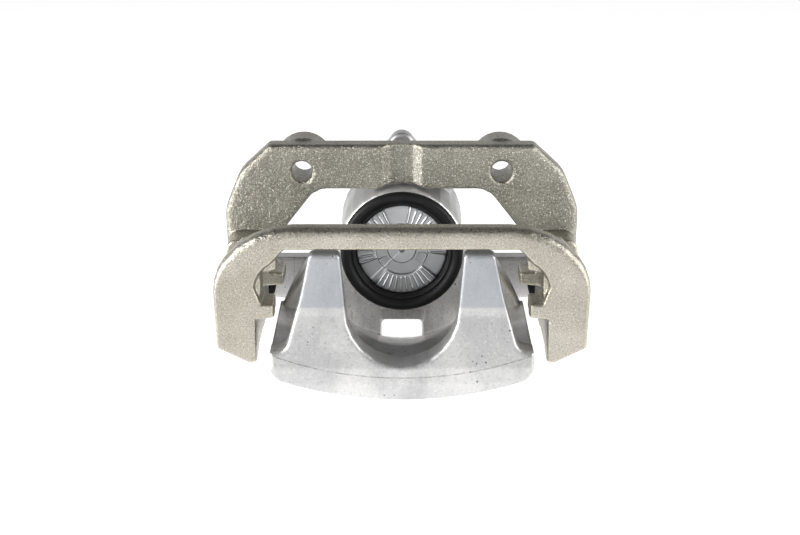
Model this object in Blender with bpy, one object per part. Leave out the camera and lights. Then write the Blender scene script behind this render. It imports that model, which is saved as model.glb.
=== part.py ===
"""Floating rear brake caliper: cast bracket, single-piston housing and parking-brake screw drive.

The design frame has the piston axis as its Y axis: X runs along the bracket, +Y points away from
the wheel, +Z towards the hub, and the brake disc's middle plane is close to Y = 0. An empty then
moves the whole assembly so that the world origin lies midway between the two mounting bosses'
rear faces. All sizes are in metres.
"""

import math

import bmesh
import bpy

# Fits and rounding
GAP = 0.0003
EPS = 0.0005
CAST_STEP = 0.0002
ARC_STEP = math.radians(15)
TURN_STEPS = 28

# Bracket: mounting plate
PLATE_FRONT_Y = 0.0345
PLATE_THICKNESS = 0.012
PLATE_TOP_Z = 0.052
PLATE_UNDERSIDE_Z = 0.0297
PLATE_EDGE = 0.0025
HALF_WIDTH = 0.0876
CHANNEL_HALF_WIDTH = 0.0098
CHANNEL_WALL = 0.0042
CHANNEL_DEPTH = 0.0032

# Bracket: mounting bosses
BOSS_SPACING = 0.0986
BOSS_Z = 0.0385
BOSS_RADIUS = 0.0146
BOSS_REAR_Y = 0.0625
BOSS_BORE_RADIUS = 0.00525
BOSS_MOUTH_RADIUS = 0.00615

# Bracket: front bar, arms and rails
BAR_FRONT_Y = -0.0345
BAR_THICKNESS = 0.0095
BAR_TOP_Z = 0.0289
BAR_UNDERSIDE_Z = 0.01845
BAR_EDGE = 0.0040
SHOULDER_RADIUS = 0.041
SHOULDER_SWEEP = math.radians(52)
ELBOW_RADIUS = 0.024
FRONT_ARM_BACK_Y = -0.0160
REAR_ARM_FRONT_Y = 0.0165
ARM_RELIEF = 0.0032
RAIL_INNER_X = 0.0677
RAIL_BACK_Y = 0.0500
RAIL_TOP_Z = -0.0150
RAIL_BOTTOM_Z = -0.0364
SEAT_BACK_X = 0.0652
SEAT_Z = -0.0074
LUG_HEIGHT = 0.0069
FRONT_LUG_X = 0.0593
REAR_LUG_X = 0.0577
SHOULDER_Z = 0.0092

# Guide pins
PIN_X = 0.0760
PIN_Z = -0.0255
PIN_RADIUS = 0.0050
PIN_TIP_Y = -0.0080
PIN_BORE_BOTTOM_Y = -0.0160
PIN_HEAD_LENGTH = 0.0055
PIN_HEAD_FLATS = 0.0130
PIN_BOLT_RADIUS = 0.0040
PIN_BOLT_DEPTH = 0.0180
PIN_BOLT_FLATS = 0.0130
PIN_BOLT_HEAD = 0.0060
PIN_BOOT_RADIUS = 0.0114
PIN_BOOT_FOLDS = 3
BUSH_LENGTH = 0.0150
BUSH_WALL = 0.0012

# Housing: fingers and bridge
FINGER_REAR_Y = -0.0260
FINGER_TIP_Z = 0.0170
FINGER_TIP_Y = -0.0358
FINGER_BEND_Y = -0.0378
FINGER_BEND_Z = -0.0120
FOOT_FRONT_Y = -0.0425
FOOT_BREAK_Z = -0.0360
FOOT_HALF_WIDTH = 0.0614
FOOT_TOP_Z = -0.0290
FOOT_SIDE_Z = -0.0380
FOOT_CORNER_X = 0.0573
HOUSING_BOTTOM_Z = -0.0530
HOUSING_BOTTOM_RADIUS = 0.167
SLOT_RADIUS = 0.0262
SLOT_CENTRE_Z = -0.0090
SLOT_MOUTH = 0.0286
FINGER_OUTER_X = 0.0428
BRIDGE_INNER_Z = -0.0363
PAD_RELIEF_FRONT_Y = -0.0100
PAD_RELIEF_RADIUS = 0.0460
WINDOW_HALF_WIDTH = 0.01035
WINDOW_TOP_Z = -0.0371
WINDOW_CORNER = 0.0022
LAND_HALF_WIDTH = 0.0108
LAND_DEPTH = 0.0021

# Housing: cylinder
RIM_Y = 0.0295
CYLINDER_RADIUS = 0.0310
CYLINDER_REAR_Y = 0.0900
BORE_END_Y = 0.0820
SADDLE_BACK_Y = 0.0480
PLATE_CLEARANCE = 0.0014
MOUTH_RADIUS = 0.0293
MOUTH_DEPTH = 0.0042
SEAL_GROOVE_Y = 0.0400
SEAL_WIDTH = 0.0034
SEAL_HEIGHT = 0.0028

# Housing: ears, actuator flange, bleed and hose bosses
EAR_FRONT_Y = 0.0660
EAR_THICKNESS = 0.0120
EAR_RADIUS = 0.0105
EAR_HOLE_RADIUS = 0.0044
FLANGE_FRONT_Y = 0.0840
FLANGE_BACK_Y = 0.0920
FLANGE_SCREW_Z = 0.0413
FLANGE_SCREW_RADIUS = 0.0024
FLANGE_BOSS_RADIUS = 0.0064
FLANGE_BOSS_FRONT_Y = 0.0810
BLEED_Y = 0.0740
BLEED_ANGLE = math.radians(40)
PORT_Y = 0.0705
BLEED_BOSS_RADIUS = 0.0075
BLEED_BOSS_TOP = 0.0375
PORT_BOSS_RADIUS = 0.0090
PORT_BOSS_TOP = 0.0365
PORT_RADIUS = 0.0043
PORT_DEPTH = 0.0095

# Piston
PISTON_RADIUS = 0.0225
PISTON_LENGTH = 0.0480
PISTON_WALL = 0.0048
PISTON_CROWN = 0.0068
PISTON_NOTCHES = 3
PISTON_NOTCH_ANGLE = math.radians(33)
PISTON_NOTCH_START = math.radians(97)
PISTON_LAND_INNER = 0.0129
PISTON_BOSS_RADIUS = 0.0070
BOOT_GROOVE_DEPTH = 0.0014
BOOT_GROOVE_WIDTH = 0.0030
BOOT_GROOVE_Y = 0.0315

# Dust boot
BOOT_BULGE = 0.0050
BOOT_SKIN = 0.0014

# Screw drive
SPINDLE_RADIUS = 0.0060
SPINDLE_FRONT_Y = 0.0440
COLLAR_RADIUS = 0.0120
COLLAR_THICKNESS = 0.0030
BEARING_THICKNESS = 0.0020
WASHER_THICKNESS = 0.0012
SPINDLE_TAIL_Y = 0.0975
SPINDLE_TAIL_FLATS = 0.0090
ORING_SECTION = 0.0014
CIRCLIP_THICKNESS = 0.0012
CIRCLIP_RADIUS = 0.0088
CIRCLIP_GROOVE_DEPTH = 0.0009
NUT_CLEARANCE = 0.0047
NUT_LENGTH = 0.0220
NUT_FRONT_Y = 0.0411
NUT_CAP = 0.0026

# Bleed screw and cap
BLEED_THREAD_RADIUS = 0.0032
BLEED_FLATS = 0.0090
BLEED_HEX_HEIGHT = 0.0045
BLEED_NIPPLE_RADIUS = 0.0030
BLEED_NIPPLE_LENGTH = 0.0080
BLEED_PASSAGE_RADIUS = 0.0010
CAP_WALL = 0.0014
CAP_TOP = 0.0016

# Derived places
PLATE_BACK_Y = PLATE_FRONT_Y + PLATE_THICKNESS
BAR_BACK_Y = BAR_FRONT_Y + BAR_THICKNESS
BOSS_X = BOSS_SPACING / 2
BORE_RADIUS = PISTON_RADIUS + GAP
PIN_BORE_RADIUS = PIN_RADIUS + GAP
PIN_REAR_Y = EAR_FRONT_Y - GAP
PIN_HEAD_Y = PIN_REAR_Y - PIN_HEAD_LENGTH
SPINDLE_HOLE_RADIUS = SPINDLE_RADIUS + GAP
WASHER_BACK_Y = BORE_END_Y - GAP
BEARING_BACK_Y = WASHER_BACK_Y - WASHER_THICKNESS - GAP
COLLAR_BACK_Y = BEARING_BACK_Y - BEARING_THICKNESS - GAP
CIRCLIP_Y = CYLINDER_REAR_Y + GAP
PISTON_INNER_RADIUS = PISTON_RADIUS - PISTON_WALL
NUT_FLATS = 2 * (PISTON_INNER_RADIUS - NUT_CLEARANCE)


def new_material(name, colour, roughness, metallic):
    """Return a Principled BSDF material with plain values."""
    material = bpy.data.materials.new(name)
    material.use_nodes = True
    shader = material.node_tree.nodes["Principled BSDF"]
    shader.inputs["Base Color"].default_value = (*colour, 1.0)
    shader.inputs["Roughness"].default_value = roughness
    shader.inputs["Metallic"].default_value = metallic
    return material


def arc(centre_x, centre_z, radius, start, end):
    """Points along an arc, both ends included; angles are from +X towards +Z."""
    steps = max(1, math.ceil(abs(end - start) / ARC_STEP))
    angles = [start + (end - start) * step / steps for step in range(steps + 1)]
    return [(centre_x + radius * math.cos(a), centre_z + radius * math.sin(a)) for a in angles]


def rounded(corners):
    """Closed outline through (x, z, radius) corners, with each corner rounded to its radius."""
    points = []
    for index, (x, z, radius) in enumerate(corners):
        if radius == 0:
            points.append((x, z))
            continue
        previous = corners[index - 1]
        following = corners[(index + 1) % len(corners)]
        before = math.atan2(previous[1] - z, previous[0] - x)
        after = math.atan2(following[1] - z, following[0] - x)
        opening = (after - before + math.pi) % (2 * math.pi) - math.pi
        reach = radius / abs(math.tan(opening / 2))
        middle = before + opening / 2
        centre_distance = math.hypot(radius, reach)
        centre_x = x + centre_distance * math.cos(middle)
        centre_z = z + centre_distance * math.sin(middle)
        side = math.copysign(math.pi / 2, opening)
        turn = math.copysign(math.pi - abs(opening), opening)
        start = before - side
        points += arc(centre_x, centre_z, radius, start, start - turn)
    return points


def mirrored(half):
    """Full outline from a +X half that starts and ends near the middle line."""
    return half + [(-x, z) for x, z in reversed(half) if x > EPS / 10]


def flipped(outline):
    """The same outline on the other side of the middle plane."""
    return [(-x, z) for x, z in reversed(outline)]


def hexagon(centre_x, centre_z, flats):
    """Hexagon outline with its flats that far apart."""
    radius = flats / math.sqrt(3)
    corners = [math.radians(60 * corner) for corner in range(6)]
    return [(centre_x + radius * math.cos(a), centre_z + radius * math.sin(a)) for a in corners]


def inset(outline, distance, share=None):
    """Outline drawn in by a distance, which share(x, z) can scale from place to place."""
    area = sum(x * z_next - x_next * z for (x, z), (x_next, z_next)
               in zip(outline, outline[1:] + outline[:1]))
    inward = math.copysign(1.0, area)
    points = []
    for index, (x, z) in enumerate(outline):
        before = outline[index - 1]
        after = outline[(index + 1) % len(outline)]
        first = math.atan2(z - before[1], x - before[0])
        second = math.atan2(after[1] - z, after[0] - x)
        half_turn = ((second - first + math.pi) % (2 * math.pi) - math.pi) / 2
        normal = first + half_turn + inward * math.pi / 2
        reach = distance / max(math.cos(half_turn), 0.5)
        if share:
            reach *= share(x, z)
        points.append((x + reach * math.cos(normal), z + reach * math.sin(normal)))
    return points


def loft(rings):
    """Closed solid through (y, outline) rings that all have the same number of points."""
    shape = bmesh.new()
    loops = [[shape.verts.new((x, y, z)) for x, z in outline] for y, outline in rings]
    for near, far in zip(loops, loops[1:]):
        for index in range(len(near)):
            shape.faces.new((near[index - 1], near[index], far[index], far[index - 1]))
    shape.faces.new(loops[0])
    shape.faces.new(loops[-1])
    bmesh.ops.recalc_face_normals(shape, faces=shape.faces)
    return shape


def prism(outline, front, back, edge=0.0, steps=1, share=None, only_front=False):
    """Solid with an X-Z outline that runs from front to back along Y, its rims rounded by edge."""
    if not edge:
        return loft([(front, outline), (back, outline)])
    turns = [math.pi / 2 * step / steps for step in range(steps + 1)]
    rings = [(front + edge * (1 - math.sin(a)), inset(outline, edge * (1 - math.cos(a)), share))
             for a in reversed(turns)]
    if only_front:
        return loft(rings + [(back, outline)])
    return loft(rings + [(back - edge * (1 - math.sin(a)), inset(outline, edge * (1 - math.cos(a)), share))
                         for a in turns])


def upright(outline, low, high):
    """Solid with an X-Y outline that runs from low to high along Z."""
    shape = prism(outline, low, high)
    for vert in shape.verts:
        x, z, y = vert.co
        vert.co = (x, y, z)
    bmesh.ops.recalc_face_normals(shape, faces=shape.faces)
    return shape


def turned(profile, x=0.0, z=0.0, steps=TURN_STEPS):
    """Solid of revolution about a line along Y through (x, z), from (radius, y) points."""
    shape = bmesh.new()
    verts = [shape.verts.new((radius, y, 0.0)) for radius, y in profile]
    edges = [shape.edges.new(pair) for pair in zip(verts, verts[1:])]
    if min(radius for radius, y in profile) > 0:
        edges.append(shape.edges.new((verts[-1], verts[0])))
    bmesh.ops.spin(shape, geom=verts + edges, cent=(0, 0, 0), axis=(0, 1, 0),
                   angle=2 * math.pi, steps=steps)
    bmesh.ops.remove_doubles(shape, verts=shape.verts, dist=EPS / 100)
    bmesh.ops.recalc_face_normals(shape, faces=shape.faces)
    bmesh.ops.translate(shape, vec=(x, 0.0, z), verts=shape.verts)
    return shape


def rod(radius, front, back, x=0.0, z=0.0, chamfer=0.0):
    """Round bar along Y, its two rims chamfered."""
    rims = [(radius, front), (radius, back)]
    if chamfer:
        rims = [(radius - chamfer, front), (radius, front + chamfer),
                (radius, back - chamfer), (radius - chamfer, back)]
    return turned([(0.0, front)] + rims + [(0.0, back)], x, z)


def tube(inner, outer, front, back, x=0.0, z=0.0):
    """Plain ring along Y."""
    return turned([(inner, front), (outer, front), (outer, back), (inner, back)], x, z)


class Assembly:
    """Makes the objects, all held by one empty that sets the world origin."""

    def __init__(self):
        for item in list(bpy.data.objects):
            bpy.data.objects.remove(item, do_unlink=True)
        self.base = bpy.data.objects.new("design_frame", None)
        self.base.location = (0.0, -BOSS_REAR_Y, -BOSS_Z)
        bpy.context.scene.collection.objects.link(self.base)

    def place(self, name, shape, material=None, origin=(0.0, 0.0, 0.0), rotation=(0.0, 0.0, 0.0)):
        """Link an object whose mesh is in design coordinates, or in its own if it is turned."""
        if rotation == (0.0, 0.0, 0.0):
            bmesh.ops.translate(shape, vec=[-value for value in origin], verts=shape.verts)
        mesh = bpy.data.meshes.new(name)
        shape.to_mesh(mesh)
        shape.free()
        mesh.shade_smooth()
        mesh.set_sharp_from_angle(angle=math.radians(32))
        item = bpy.data.objects.new(name, mesh)
        item.location = origin
        item.rotation_euler = rotation
        item.parent = self.base
        bpy.context.scene.collection.objects.link(item)
        if material:
            mesh.materials.append(material)
        return item

    def shape_with(self, target, operation, name, shape, rotation=(0.0, 0.0, 0.0),
                   origin=(0.0, 0.0, 0.0)):
        """Join a hidden guide to the target, or cut the target with it."""
        guide = self.place(f"{name}_guide", shape, None, origin, rotation)
        guide.hide_render = True
        guide.display_type = "WIRE"
        modifier = target.modifiers.new(name, "BOOLEAN")
        modifier.operation = operation
        modifier.object = guide
        modifier.solver = "EXACT"

    def join(self, target, name, shape, **places):
        """Boolean union with a hidden guide."""
        self.shape_with(target, "UNION", name, shape, **places)

    def cut(self, target, name, shape, **places):
        """Boolean difference with a hidden guide."""
        self.shape_with(target, "DIFFERENCE", name, shape, **places)


def fitting_rotation(angle):
    """Turns a piece's own Y axis to point out of the cylinder, that far from +Z towards +X."""
    return (math.radians(90), angle, 0.0)


# Bracket ------------------------------------------------------------------------------------

def rail_foot():
    """Corners of the lower end that the arms and rails share, from outside to inside."""
    return [(HALF_WIDTH - 0.0013, RAIL_BOTTOM_Z + 0.0072, 0.0),
            (RAIL_INNER_X + 0.0040, RAIL_BOTTOM_Z, 0.0),
            (RAIL_INNER_X, RAIL_BOTTOM_Z, 0.0)]


def outer_shoulder():
    """Outer contour of the front bar and arm, from the bar's top down to the elbow."""
    start = math.pi / 2
    turn = start - SHOULDER_SWEEP
    corner_x = HALF_WIDTH - ELBOW_RADIUS - (SHOULDER_RADIUS - ELBOW_RADIUS) * math.cos(turn)
    corner_z = BAR_TOP_Z - SHOULDER_RADIUS
    elbow_x = HALF_WIDTH - ELBOW_RADIUS
    elbow_z = corner_z + (SHOULDER_RADIUS - ELBOW_RADIUS) * math.sin(turn)
    shoulder = arc(corner_x, corner_z, SHOULDER_RADIUS, start, turn)
    return shoulder + arc(elbow_x, elbow_z, ELBOW_RADIUS, turn, 0.0)[1:]


def seat_corners(lug_x):
    """Corners of the pad seat and its lower lug, from the rail up to the seat's back wall."""
    lug_bottom = SEAT_Z - LUG_HEIGHT
    return [(RAIL_INNER_X, lug_bottom - 0.0008, 0.0),
            (lug_x, lug_bottom, 0.0),
            (lug_x, SEAT_Z, 0.0),
            (SEAT_BACK_X, SEAT_Z, 0.0)]


def front_outline(relief):
    """Front bar with both arms; relief holds the inner contour back from the pad seats."""
    foot = rounded(rail_foot() + seat_corners(FRONT_LUG_X) + [(HALF_WIDTH, SEAT_Z, 0.0)])[:-1]
    inner_x = SEAT_BACK_X + relief
    hollow = arc(inner_x - ELBOW_RADIUS * 0.62, SEAT_Z + 0.0060, ELBOW_RADIUS * 0.62,
                 math.radians(8), math.radians(62))
    hollow += [(hollow[-1][0] - 0.0062, BAR_UNDERSIDE_Z)]
    return mirrored([(0.0, BAR_TOP_Z)] + outer_shoulder() + foot + hollow + [(0.0, BAR_UNDERSIDE_Z)])


def front_arm_outline():
    """One front arm below the bar, from its shoulder to the lower end."""
    top = [(HALF_WIDTH - 0.0132, BAR_UNDERSIDE_Z + 0.0020, 0.0),
           (HALF_WIDTH - 0.0068, BAR_UNDERSIDE_Z - 0.0050, 0.0),
           (HALF_WIDTH - 0.0014, 0.0050, 0.0),
           (HALF_WIDTH - 0.0002, -0.0050, 0.0)]
    inner = [(SEAT_BACK_X, 0.0064, 0.0),
             (SEAT_BACK_X - 0.0030, 0.0070, 0.0),
             (SEAT_BACK_X - 0.0072, 0.0080, 0.0),
             (SEAT_BACK_X - 0.0078, BAR_UNDERSIDE_Z - 0.0038, 0.0),
             (SEAT_BACK_X - 0.0115, BAR_UNDERSIDE_Z - 0.0005, 0.0),
             (SEAT_BACK_X - 0.0115, BAR_UNDERSIDE_Z + 0.0030, 0.0)]
    return rounded(top + rail_foot() + seat_corners(FRONT_LUG_X) + inner)


def rear_arm_outline():
    """One rear arm, from its shoulder to the lower end."""
    top = [(SEAT_BACK_X + 0.0022, SHOULDER_Z, 0.0030), (HALF_WIDTH - 0.0010, SHOULDER_Z, 0.0060)]
    return rounded(top + rail_foot() + seat_corners(REAR_LUG_X))


def rail_outline():
    """Cross-section of the rail that carries a guide pin past the disc's edge."""
    top = [(RAIL_INNER_X, RAIL_TOP_Z, 0.0), (HALF_WIDTH - 0.0004, RAIL_TOP_Z + 0.0020, 0.0030)]
    return rounded(top + rail_foot())


def plate_outline():
    """Mounting plate with its two lower arms."""
    outside = rounded([(0.0, PLATE_TOP_Z, 0.0), (0.0653, PLATE_TOP_Z, 0.0030), (0.0800, 0.0385, 0.0160),
                       (HALF_WIDTH, 0.0200, 0.0200)] + rail_foot() +
                      [(RAIL_INNER_X, SEAT_Z, 0.0), (SEAT_BACK_X, SEAT_Z, 0.0),
                       (SEAT_BACK_X, 0.0005, 0.0020), (0.0425, PLATE_UNDERSIDE_Z, 0.0110),
                       (0.0, PLATE_UNDERSIDE_Z, 0.0)])
    return mirrored(outside)


def bar_edge_share(x, z):
    """How much of the bar's large front rounding an outline point gets."""
    outer = z > BAR_UNDERSIDE_Z + BAR_EDGE or abs(x) > HALF_WIDTH - ELBOW_RADIUS * 0.6
    upper = min(max((z - SEAT_Z) / (BAR_UNDERSIDE_Z - SEAT_Z), 0.0), 1.0)
    return 0.18 + 0.82 * upper if outer else 0.18


def plate_edge_share(x, z):
    """The plate's outer edges are rounded more than those around its opening."""
    inside = z < PLATE_UNDERSIDE_Z + PLATE_EDGE and abs(x) < RAIL_INNER_X + PLATE_EDGE
    return 0.35 if inside else 1.0


def build_bracket(assembly, material):
    """Cast bracket: mounting plate, bosses, rails over the disc, arms and front bar."""
    bracket = assembly.place("bracket", prism(
        plate_outline(), PLATE_FRONT_Y, PLATE_BACK_Y, PLATE_EDGE, 2, plate_edge_share, True), material)
    assembly.join(bracket, "front_bar", prism(
        front_outline(ARM_RELIEF), BAR_FRONT_Y, BAR_BACK_Y, BAR_EDGE, 3, bar_edge_share, True))
    for side, mirror in (("left", flipped), ("right", list)):
        sign = -1.0 if side == "left" else 1.0
        x = sign * BOSS_X
        front_arm = inset(mirror(front_arm_outline()), CAST_STEP)
        rail = inset(mirror(rail_outline()), 3 * CAST_STEP)
        rear_arm = inset(mirror(rear_arm_outline()), 2 * CAST_STEP)
        assembly.join(bracket, f"front_arm_{side}", prism(
            front_arm, BAR_FRONT_Y + ARM_RELIEF, FRONT_ARM_BACK_Y, 0.0006))
        assembly.join(bracket, f"rear_arm_{side}", prism(
            rear_arm, REAR_ARM_FRONT_Y, PLATE_FRONT_Y + PLATE_EDGE, 0.0006))
        assembly.join(bracket, f"rail_{side}", prism(
            rail, BAR_FRONT_Y + BAR_EDGE, RAIL_BACK_Y, 0.0010))
        assembly.join(bracket, f"boss_{side}", rod(
            BOSS_RADIUS, PLATE_BACK_Y - 2 * EPS, BOSS_REAR_Y, x, BOSS_Z, 0.0006))
        assembly.cut(bracket, f"boss_bore_{side}", turned(
            [(0.0, PLATE_FRONT_Y - EPS), (BOSS_MOUTH_RADIUS + EPS, PLATE_FRONT_Y - EPS),
             (BOSS_BORE_RADIUS, PLATE_FRONT_Y + BOSS_MOUTH_RADIUS - BOSS_BORE_RADIUS),
             (BOSS_BORE_RADIUS, BOSS_REAR_Y + EPS), (0.0, BOSS_REAR_Y + EPS)], x, BOSS_Z))
        assembly.cut(bracket, f"pin_bore_{side}", rod(
            PIN_BORE_RADIUS, PIN_BORE_BOTTOM_Y, RAIL_BACK_Y + EPS, sign * PIN_X, PIN_Z))
    inner_half = CHANNEL_HALF_WIDTH - CHANNEL_WALL
    front = PLATE_FRONT_Y - EPS
    floor = PLATE_FRONT_Y + CHANNEL_DEPTH
    slope = CHANNEL_WALL / CHANNEL_DEPTH * EPS
    channel = [(-CHANNEL_HALF_WIDTH - slope, front), (CHANNEL_HALF_WIDTH + slope, front),
               (inner_half, floor), (-inner_half, floor)]
    assembly.cut(bracket, "channel", upright(channel, PLATE_UNDERSIDE_Z - EPS, PLATE_TOP_Z + EPS))
    arch = CYLINDER_RADIUS + PLATE_CLEARANCE
    assembly.cut(bracket, "cylinder_arch", rod(arch, PLATE_FRONT_Y - EPS, PLATE_BACK_Y + EPS))


# Housing ------------------------------------------------------------------------------------

def bottom_arc():
    """Outer underside of the bridge, from the corner on +X to the middle."""
    centre_z = HOUSING_BOTTOM_Z + HOUSING_BOTTOM_RADIUS
    steps = 6
    xs = [FOOT_CORNER_X * (1 - step / steps) for step in range(steps + 1)]
    return [(x, centre_z - math.sqrt(HOUSING_BOTTOM_RADIUS ** 2 - x * x)) for x in xs]


def finger_outline():
    """Front view of the two fingers and the foot that joins them."""
    slot = arc(0.0, SLOT_CENTRE_Z, SLOT_RADIUS, -math.pi / 2, 0.0)
    finger = rounded([(SLOT_RADIUS, SLOT_CENTRE_Z, 0.0),
                      (SLOT_MOUTH, FINGER_TIP_Z, 0.0022),
                      (FINGER_OUTER_X, FINGER_TIP_Z, 0.0028),
                      (0.0472, -0.0040, 0.0600),
                      (0.0540, FOOT_TOP_Z + 0.0012, 0.0055),
                      (FOOT_HALF_WIDTH, FOOT_TOP_Z, 0.0),
                      (FOOT_HALF_WIDTH, FOOT_SIDE_Z, 0.0040)] + [(*bottom_arc()[0], 0.0040)] +
                     [(0.0, HOUSING_BOTTOM_Z, 0.0)])
    return mirrored(slot + finger[1:-1] + bottom_arc()[1:])


def lean_front(shape):
    """Bend the front face: upright fingers that slope out to the foot and back under it."""
    levels = [(FINGER_TIP_Z, FINGER_TIP_Y), (FINGER_BEND_Z, FINGER_BEND_Y), (FOOT_BREAK_Z, FOOT_FRONT_Y),
              (FOOT_BREAK_Z - 0.0075, FOOT_FRONT_Y), (HOUSING_BOTTOM_Z, FOOT_FRONT_Y + 0.0030)]
    for level in levels[1:-1]:
        geometry = shape.verts[:] + shape.edges[:] + shape.faces[:]
        bmesh.ops.bisect_plane(shape, geom=geometry, dist=EPS / 100,
                               plane_co=(0, 0, level[0]), plane_no=(0, 0, 1))
    for vert in shape.verts:
        z = max(min(vert.co.z, levels[0][0]), levels[-1][0])
        share = (FINGER_REAR_Y - vert.co.y) / (FINGER_REAR_Y - FOOT_FRONT_Y)
        for (high_z, high_y), (low_z, low_y) in zip(levels, levels[1:]):
            if low_z <= z <= high_z:
                face_y = high_y + (low_y - high_y) * (high_z - z) / (high_z - low_z)
                vert.co.y = FINGER_REAR_Y - share * (FINGER_REAR_Y - face_y)
                break
    return shape


def bridge_outline():
    """Cross-section of the bridge over the disc's edge."""
    rise = FOOT_TOP_Z - BRIDGE_INNER_Z
    radius = (FOOT_HALF_WIDTH ** 2 + rise ** 2) / (2 * rise)
    reach = math.asin(FOOT_HALF_WIDTH / radius)
    steps = 6
    inner = []
    for step in range(steps):
        angle = reach * step / steps
        inner.append((radius * math.sin(angle), BRIDGE_INNER_Z + radius * (1 - math.cos(angle))))
    side = [(FOOT_HALF_WIDTH, FOOT_TOP_Z), (FOOT_HALF_WIDTH, FOOT_SIDE_Z)]
    return mirrored(inner + side + bottom_arc())


def saddle_outline():
    """Rear wall that carries the cylinder on the bridge."""
    half = rounded([(0.0, 0.0200, 0.0), (0.0260, 0.0120, 0.0), (0.0330, -0.0020, 0.0080),
                    (0.0480, -0.0080, 0.0060), (0.0560, -0.0215, 0.0400), (0.0612, -0.0330, 0.0080),
                    (FOOT_HALF_WIDTH, FOOT_SIDE_Z, 0.0030)] + [(*bottom_arc()[0], 0.0)] +
                   [(0.0, HOUSING_BOTTOM_Z, 0.0)])
    return mirrored(half[:-1] + bottom_arc()[1:])


def ear_outline():
    """The two ears that carry the guide pins, as one bar across the cylinder."""
    half = rounded([(0.0, 0.0, 0.0), (0.0250, 0.0, 0.0), (0.0330, -0.0150, 0.0060),
                    (PIN_X - 0.0030, PIN_Z + EAR_RADIUS, 0.0)])
    half += arc(PIN_X, PIN_Z, EAR_RADIUS, math.radians(90), math.radians(-90))
    half += [(0.0400, PIN_Z - EAR_RADIUS - 0.0030), (0.0, PIN_Z - EAR_RADIUS - 0.0030)]
    return mirrored(half)


def spine_outline():
    """Rib under the cylinder, from the saddle to the ears."""
    return rounded([(-0.0270, -0.0100, 0.0), (0.0270, -0.0100, 0.0), (0.0330, -0.0420, 0.0080),
                    (-0.0330, -0.0420, 0.0080)])


def flange_outline():
    """Rear flange that the parking-brake actuator is screwed to."""
    waist_radius = CYLINDER_RADIUS + 3 * CAST_STEP
    slant = math.acos((waist_radius - FLANGE_BOSS_RADIUS) / FLANGE_SCREW_Z)
    tip = arc(0.0, FLANGE_SCREW_Z, FLANGE_BOSS_RADIUS, math.pi / 2, math.pi / 2 - slant)
    waist = arc(0.0, 0.0, waist_radius, math.pi / 2 - slant, slant - math.pi / 2)
    return mirrored(tip + waist + [(x, -z) for x, z in reversed(tip)])


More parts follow.
